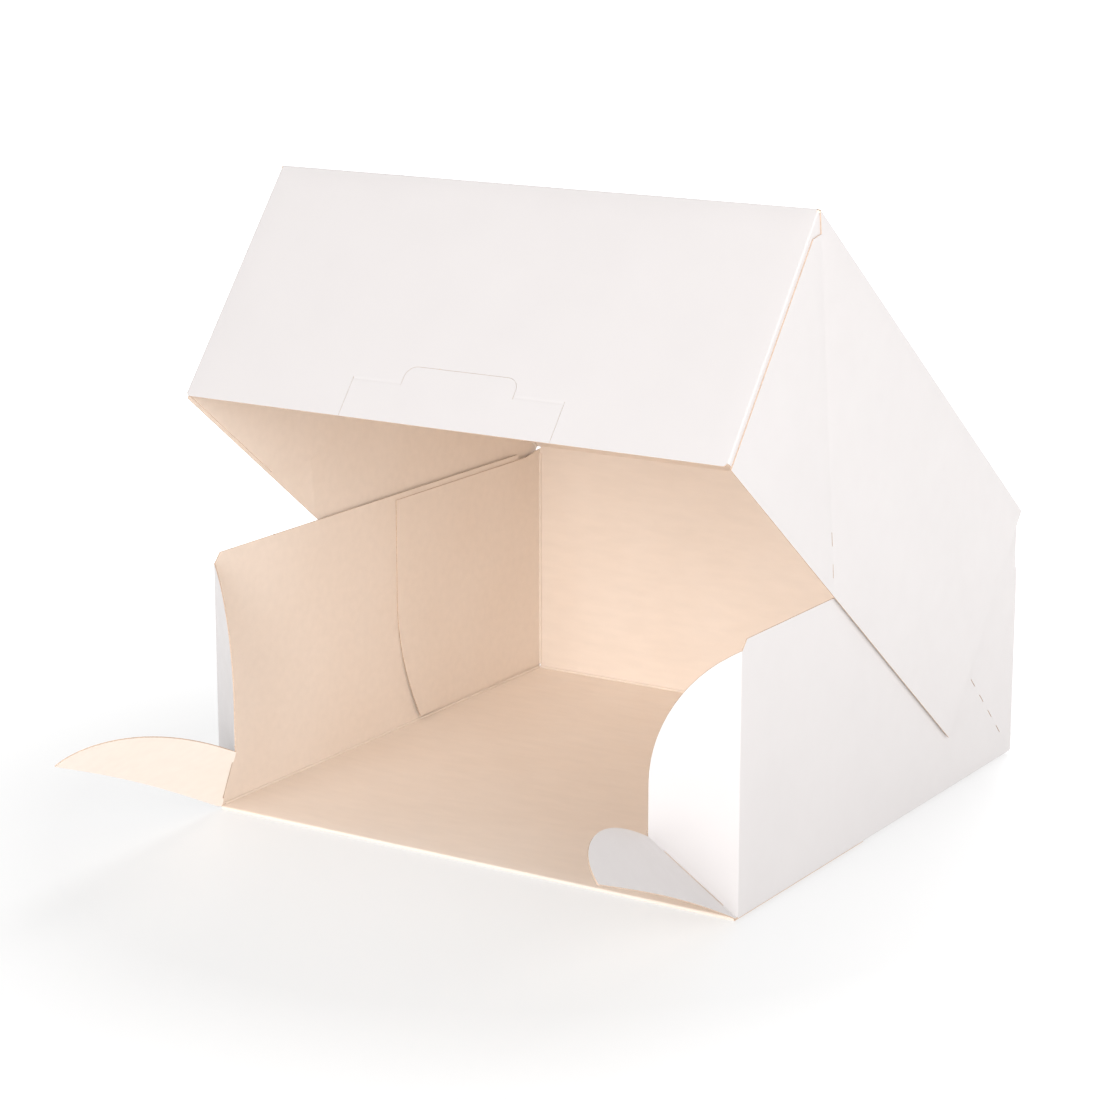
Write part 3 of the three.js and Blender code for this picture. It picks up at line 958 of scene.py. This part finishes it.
def add_lid_front(sheet, scene, at):
    board, lid, lock = scene.carton_board, scene.carton_lid, scene.carton_lock
    side, corner = at.front_side, lid.corner
    round_corner = arc((side - corner, at.lower + corner), (corner, corner), -90, 0, 8)
    right = round_corner + [(side, at.flap_high), (side, at.fold_height)]
    corners = [(-x, z) for x, z in right[::-1]]
    corners += lock_corners(scene, at, board.cut_gap, lock.crease_half)[::-1]
    corners += right
    sheet.panel(corners, axes(Y * -lid.reach, X, Z, -Y))


def add_lid_side(sheet, scene, at, side):
    lid = scene.carton_lid
    high = at.fold_height
    front = -lid.reach
    corners = [
        (at.side_rear, high), (at.front_fold, high),
        (front + lid.notch_depth, lid.top - lid.notch_depth),
        (front + lid.setback, lid.top - lid.notch_height),
        (front + lid.setback, at.lower), (at.side_rear, at.lower),
    ]
    near, far = lid.notch_depth + lid.crease_start, lid.wall - lid.crease_end
    crease = ((front + near, lid.top - near), (front + far, lid.top - far))
    sheet.panel(corners, side_plane(side, lid.half_width), [crease])
    ends = [(at.top_side, y, high) for y in (at.front_fold, at.side_rear)]
    sheet.right_angle(ends, Z, X, side)


def add_lid_flap(sheet, scene, at, side):
    lid = scene.carton_lid
    low, high, front = at.flap_low, at.flap_high, at.front_fold
    end = lid.flap_length - lid.reach
    corners = [(front, high), (front, low)]
    corners += bend((lid.flap_foot - lid.reach, low), (end, low + lid.flap_bend),
                    (end, low + lid.flap_arc_height))
    corners += [(end, high)]
    sheet.panel(corners, side_plane(side, at.flap_face))
    sheet.right_angle([(at.front_side, front, z) for z in (low, high)], -Y, X, side)


class CARTON_OT_lid(bpy.types.Operator):
    """Build the lid as one folded sheet"""
    bl_idname = "carton.lid"
    bl_label = "Lid"

    def execute(self, context):
        scene = context.scene
        board, lid, cuts = scene.carton_board, scene.carton_lid, scene.carton_perforation
        at = lid_lines(scene)
        sheet = Sheet(board)
        add_lid_top(sheet, scene, at)
        add_lid_front(sheet, scene, at)
        for side in SIDES:
            add_lid_side(sheet, scene, at, side)
            add_lid_flap(sheet, scene, at, side)
        place = lid_place(scene)
        made = sheet.make("lid_sheet", place, board_finishes(scene))
        outer = Vector((lid.half_width + board.seat / 2, lid.wall - lid.reach, at.lower))
        perforate(made, scene, outer, cuts.lid_start, cuts.lid_count, place)
        hand_over(made, "lid", "lid")
        return {"FINISHED"}


class CARTON_OT_lock(bpy.types.Operator):
    """Build the lock panel that is cut free in the lid's front"""
    bl_idname = "carton.lock"
    bl_label = "Lock Panel"

    def execute(self, context):
        scene = context.scene
        at = lid_lines(scene)
        sheet = Sheet(scene.carton_board)
        corners = lock_corners(scene, at, 0.0, -scene.carton_lock.crease_half)
        sheet.panel(corners, axes(Y * -scene.carton_lid.reach, X, Z, -Y))
        made = sheet.make("lock_flap", lid_place(scene), board_finishes(scene))
        hand_over(made, "lock_panel", "lock_panel")
        return {"FINISHED"}


class CARTON_OT_folds(bpy.types.Operator):
    """Join the lid to the tray, and the lock panel to the lid, by bent strips"""
    bl_idname = "carton.folds"
    bl_label = "Bending Folds"

    def execute(self, context):
        scene = context.scene
        self.add_hinge(scene)
        self.add_lock_creases(scene)
        return {"FINISHED"}

    def add_hinge(self, scene):
        at, lid_at = tray_lines(scene), lid_lines(scene)
        lid, place = scene.carton_lid, lid_place(scene)
        tray = tray_place(scene)
        low = tray @ Vector((0, scene.carton_tray.depth, at.top))
        high = place @ Vector((0, lid_at.rear, lid.top))
        back = place.to_3x3() @ Y
        reach = (HINGE.y - high.y) / back.y
        corner = high + back * reach
        rounding = 0.6
        curve = bend(low.lerp(corner, rounding), corner, high.lerp(corner, rounding), steps=8)
        section = [low, *map(Vector, curve), high]
        centres = path([X * -at.back_side, X * at.back_side], scene.carton_board.mesh_step)
        sheet = Sheet(scene.carton_board)
        sheet.strip(section, centres, Y)
        made = sheet.make("hinge_fold", Matrix.Identity(4), board_finishes(scene))
        smooth(made, SHARP_STRIP_EDGE)
        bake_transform(made)

    def add_lock_creases(self, scene):
        at = lid_lines(scene)
        lock, lid, place = scene.carton_lock, scene.carton_lid, lid_place(scene)
        board = scene.carton_board
        front = -lid.reach
        upper = Vector((0, front, at.crease + lock.crease_half))
        lower = Vector((0, front, at.crease - lock.crease_half))
        middle = Vector((0, front + board.crease_depth, at.crease))
        section = [upper, upper.lerp(middle, 0.5), middle, lower.lerp(middle, 0.5), lower]
        sheet = Sheet(board)
        for side in SIDES:
            ends = (lock.tongue_width / 2 + board.cut_gap, lock.width / 2)
            line = path([X * end for end in ends], lock.strip_step)
            centres = [side @ point for point in line]
            sheet.strip(section, centres, -Y)
        made = sheet.make("lock_crease_fold", place, board_finishes(scene))
        smooth(made, SHARP_STRIP_EDGE)
        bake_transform(made)


class CARTON_OT_beads(bpy.types.Operator):
    """Raise the beads that a fold pushes up on the inside"""
    bl_idname = "carton.beads"
    bl_label = "Fold Beads"

    def execute(self, context):
        scene = context.scene
        self.add("tray_fold_beads", "tray", scene, self.tray_beads(scene), tray_place(scene))
        self.add("lid_fold_beads", "lid", scene, self.lid_beads(scene), lid_place(scene))
        return {"FINISHED"}

    def tray_beads(self, scene):
        at, tray, radius = tray_lines(scene), scene.carton_tray, scene.carton_board.fold_radius
        back, side, wall = at.back_fold, at.back_side, at.wall_fold
        right = [
            [(wall, scene.carton_board.bead_start, radius), (wall, back, radius)],
            [(side, back, tray.flap_slack), (side, back, tray.wall - tray.flap_slack)],
        ]
        return [[(-side, back, radius), (side, back, radius)]] + mirrored(right)

    def lid_beads(self, scene):
        at = lid_lines(scene)
        front, side, height = at.front_fold, at.front_side, at.fold_height
        right = [
            [(at.top_side, front, height), (at.top_side, at.rear, height)],
            [(side, front, at.flap_low), (side, front, height)],
        ]
        return [[(-side, front, height), (side, front, height)]] + mirrored(right)

    def add(self, name, body, scene, lines, place):
        finish = board_finishes(scene)[INSIDE]
        made = grow(line_carrier(name, lines), "Fold beads", place,
                    radius=scene.carton_board.bead_radius, material=finish)
        hand_over(made, body)


class CARTON_OT_nicks(bpy.types.Operator):
    """Leave the small stubs that held the sheet together while it was cut"""
    bl_idname = "carton.nicks"
    bl_label = "Cut Nicks"

    def execute(self, context):
        scene = context.scene
        self.add("tray_nicks", "tray", scene, self.tray_points(scene), tray_place(scene))
        self.add("lid_nicks", "lid", scene, self.lid_points(scene), lid_place(scene))
        return {"FINISHED"}

    def tray_points(self, scene):
        tray, flap, nick = scene.carton_tray, scene.carton_dust_flap, scene.carton_nick
        middle = tray.width / 2 - scene.carton_board.thickness / 2
        reach = flap.reach
        tip = Vector((-math.sin(flap.turn) * reach, -math.cos(flap.turn) * reach, 0))
        top = Vector((middle, nick.wall_place, tray.wall))
        edge = Vector((middle, 0, nick.flap_place)) + tip
        return [side @ point for side in SIDES for point in (top, edge)]

    def lid_points(self, scene):
        at, lid, nick = lid_lines(scene), scene.carton_lid, scene.carton_nick
        middle = scene.carton_board.thickness / 2 - lid.reach
        cut = at.crease + scene.carton_lock.tongue_height + scene.carton_board.cut_gap
        front = [(x, middle, at.lower) for x in (nick.right_place, -nick.left_place)]
        tongue = [(side * nick.tongue_place, middle, cut) for side in (1, -1)]
        return front + tongue

    def add(self, name, body, scene, points, place):
        data = bpy.data.meshes.new(name)
        data.from_pydata(points, [], [])
        nick, finish = scene.carton_nick, board_finishes(scene)[CUT_EDGE]
        made = grow(plain_object(name, data, []), "Cut nicks", place,
                    size=nick.size, seed=nick.seed, material=finish)
        hand_over(made, body)


# Stage

def outlook(azimuth, elevation):
    """Direction from the carton to a viewer; azimuth 0 is in front of it."""
    flat = math.cos(elevation)
    return Vector((math.sin(azimuth) * flat, -math.cos(azimuth) * flat, math.sin(elevation)))


class CARTON_OT_stage(bpy.types.Operator):
    """Set the table with its glow and painted shadow, the soft light and the camera"""
    bl_idname = "carton.stage"
    bl_label = "Stage"

    def execute(self, context):
        stage = context.scene.carton_stage
        self.add_table(stage)
        self.add_light(context.scene, stage)
        self.add_camera(context.scene, stage)
        context.scene.view_settings.view_transform = "Standard"
        return {"FINISHED"}

    def add_table(self, stage):
        half = stage.floor_size / 2
        data = bpy.data.meshes.new("table")
        corners = [(-half, -half), (half, -half), (half, half), (-half, half)]
        points = [(x, y, TABLE_Z - TABLE_DROP) for x, y in corners]
        data.from_pydata(points, [], [range(len(points))])
        made = Finish("White table", 0.55)
        # Painted shadow: the table's glow is lowest near the origin, round the carton, and rises
        # with distance from it.
        reach = made.node("ShaderNodeVectorMath", {0: made.where}, operation="LENGTH")["Value"]
        clouds = made.ranged(made.noise(scale=3, detail=2), 0, 1)
        made.feed(made.shader, {
            "Base Color": made.mixed(clouds, *TABLE_TONES),
            "Emission Color": (*WHITE, 1),
            "Emission Strength": made.ranged(
                reach, stage.shadowed_glow, stage.far_glow, stage.near, stage.far,
            ),
        })
        plain_object("table", data, [made.material])

    def add_light(self, scene, stage):
        world = bpy.data.worlds.new("White surround")
        world.use_nodes = True
        tree = NodeTree(world.node_tree)
        seen = tree.node("ShaderNodeLightPath")["Is Camera Ray"]
        strength = tree.node("ShaderNodeMapRange", {
            "Value": seen, "To Min": stage.sky, "To Max": 1.0,
        })["Result"]
        sky = world.node_tree.nodes["Background"]
        tree.feed(sky, {"Color": (*WHITE, 1), "Strength": strength})
        scene.world = world
        self.add_lamp(scene, "Front light", stage.front, azimuth=8, elevation=18)
        self.add_lamp(scene, "Corner light", stage.corner, azimuth=55, elevation=18)
        self.add_lamp(scene, "Side light", stage.side, azimuth=100, elevation=30)
        self.add_lamp(scene, "Back light", stage.back, azimuth=190, elevation=40)

    def add_lamp(self, scene, name, power, azimuth, elevation):
        """A soft round lamp that looks at the carton, placed by its angles in degrees."""
        light = bpy.data.lights.new(name, "AREA")
        light.shape = "DISK"
        light.size = LAMP_SIZE
        light.energy = power
        back = outlook(math.radians(azimuth), math.radians(elevation))
        self.aim(scene, bpy.data.objects.new(name, light), back, LAMP_DISTANCE)

    def aim(self, scene, holder, back, distance):
        """Sets a lamp or the camera at a distance from the target, looking at it."""
        holder.location = Vector(scene.carton_stage.target) + back * distance
        holder.rotation_euler = (-back).to_track_quat("-Z", "Y").to_euler()
        scene.collection.objects.link(holder)

    def add_camera(self, scene, stage):
        camera = bpy.data.cameras.new("Camera")
        camera.lens = stage.lens
        camera.sensor_width = 36.0
        camera.clip_end = 100.0
        holder = bpy.data.objects.new("Camera", camera)
        self.aim(scene, holder, outlook(stage.azimuth, stage.elevation), stage.distance)
        scene.camera = holder


OPERATORS = (
    CARTON_OT_stage,
    CARTON_OT_tray,
    CARTON_OT_lid,
    CARTON_OT_lock,
    CARTON_OT_folds,
    CARTON_OT_beads,
    CARTON_OT_nicks,
)


class CARTON_PT_sidebar(bpy.types.Panel):
    """Lists the carton's pieces"""
    bl_label = "Folding Carton"
    bl_idname = "CARTON_PT_sidebar"
    bl_space_type = "VIEW_3D"
    bl_region_type = "UI"
    bl_category = "Carton"

    def draw(self, context):
        for operator in OPERATORS:
            self.layout.operator(operator.bl_idname)


CLASSES = (*SETTINGS.values(), *OPERATORS, CARTON_PT_sidebar)


def register():
    for group in CLASSES:
        bpy.utils.register_class(group)
    for name, group in SETTINGS.items():
        setattr(bpy.types.Scene, name, PointerProperty(type=group))


def unregister():
    for name in SETTINGS:
        delattr(bpy.types.Scene, name)
    for group in reversed(CLASSES):
        bpy.utils.unregister_class(group)


def main():
    register()
    bpy.ops.carton.stage()
    bpy.ops.carton.tray()
    bpy.ops.carton.lid()
    bpy.ops.carton.lock()
    bpy.ops.carton.folds()
    bpy.ops.carton.beads()
    bpy.ops.carton.nicks()


if __name__ == "__main__":
    main()
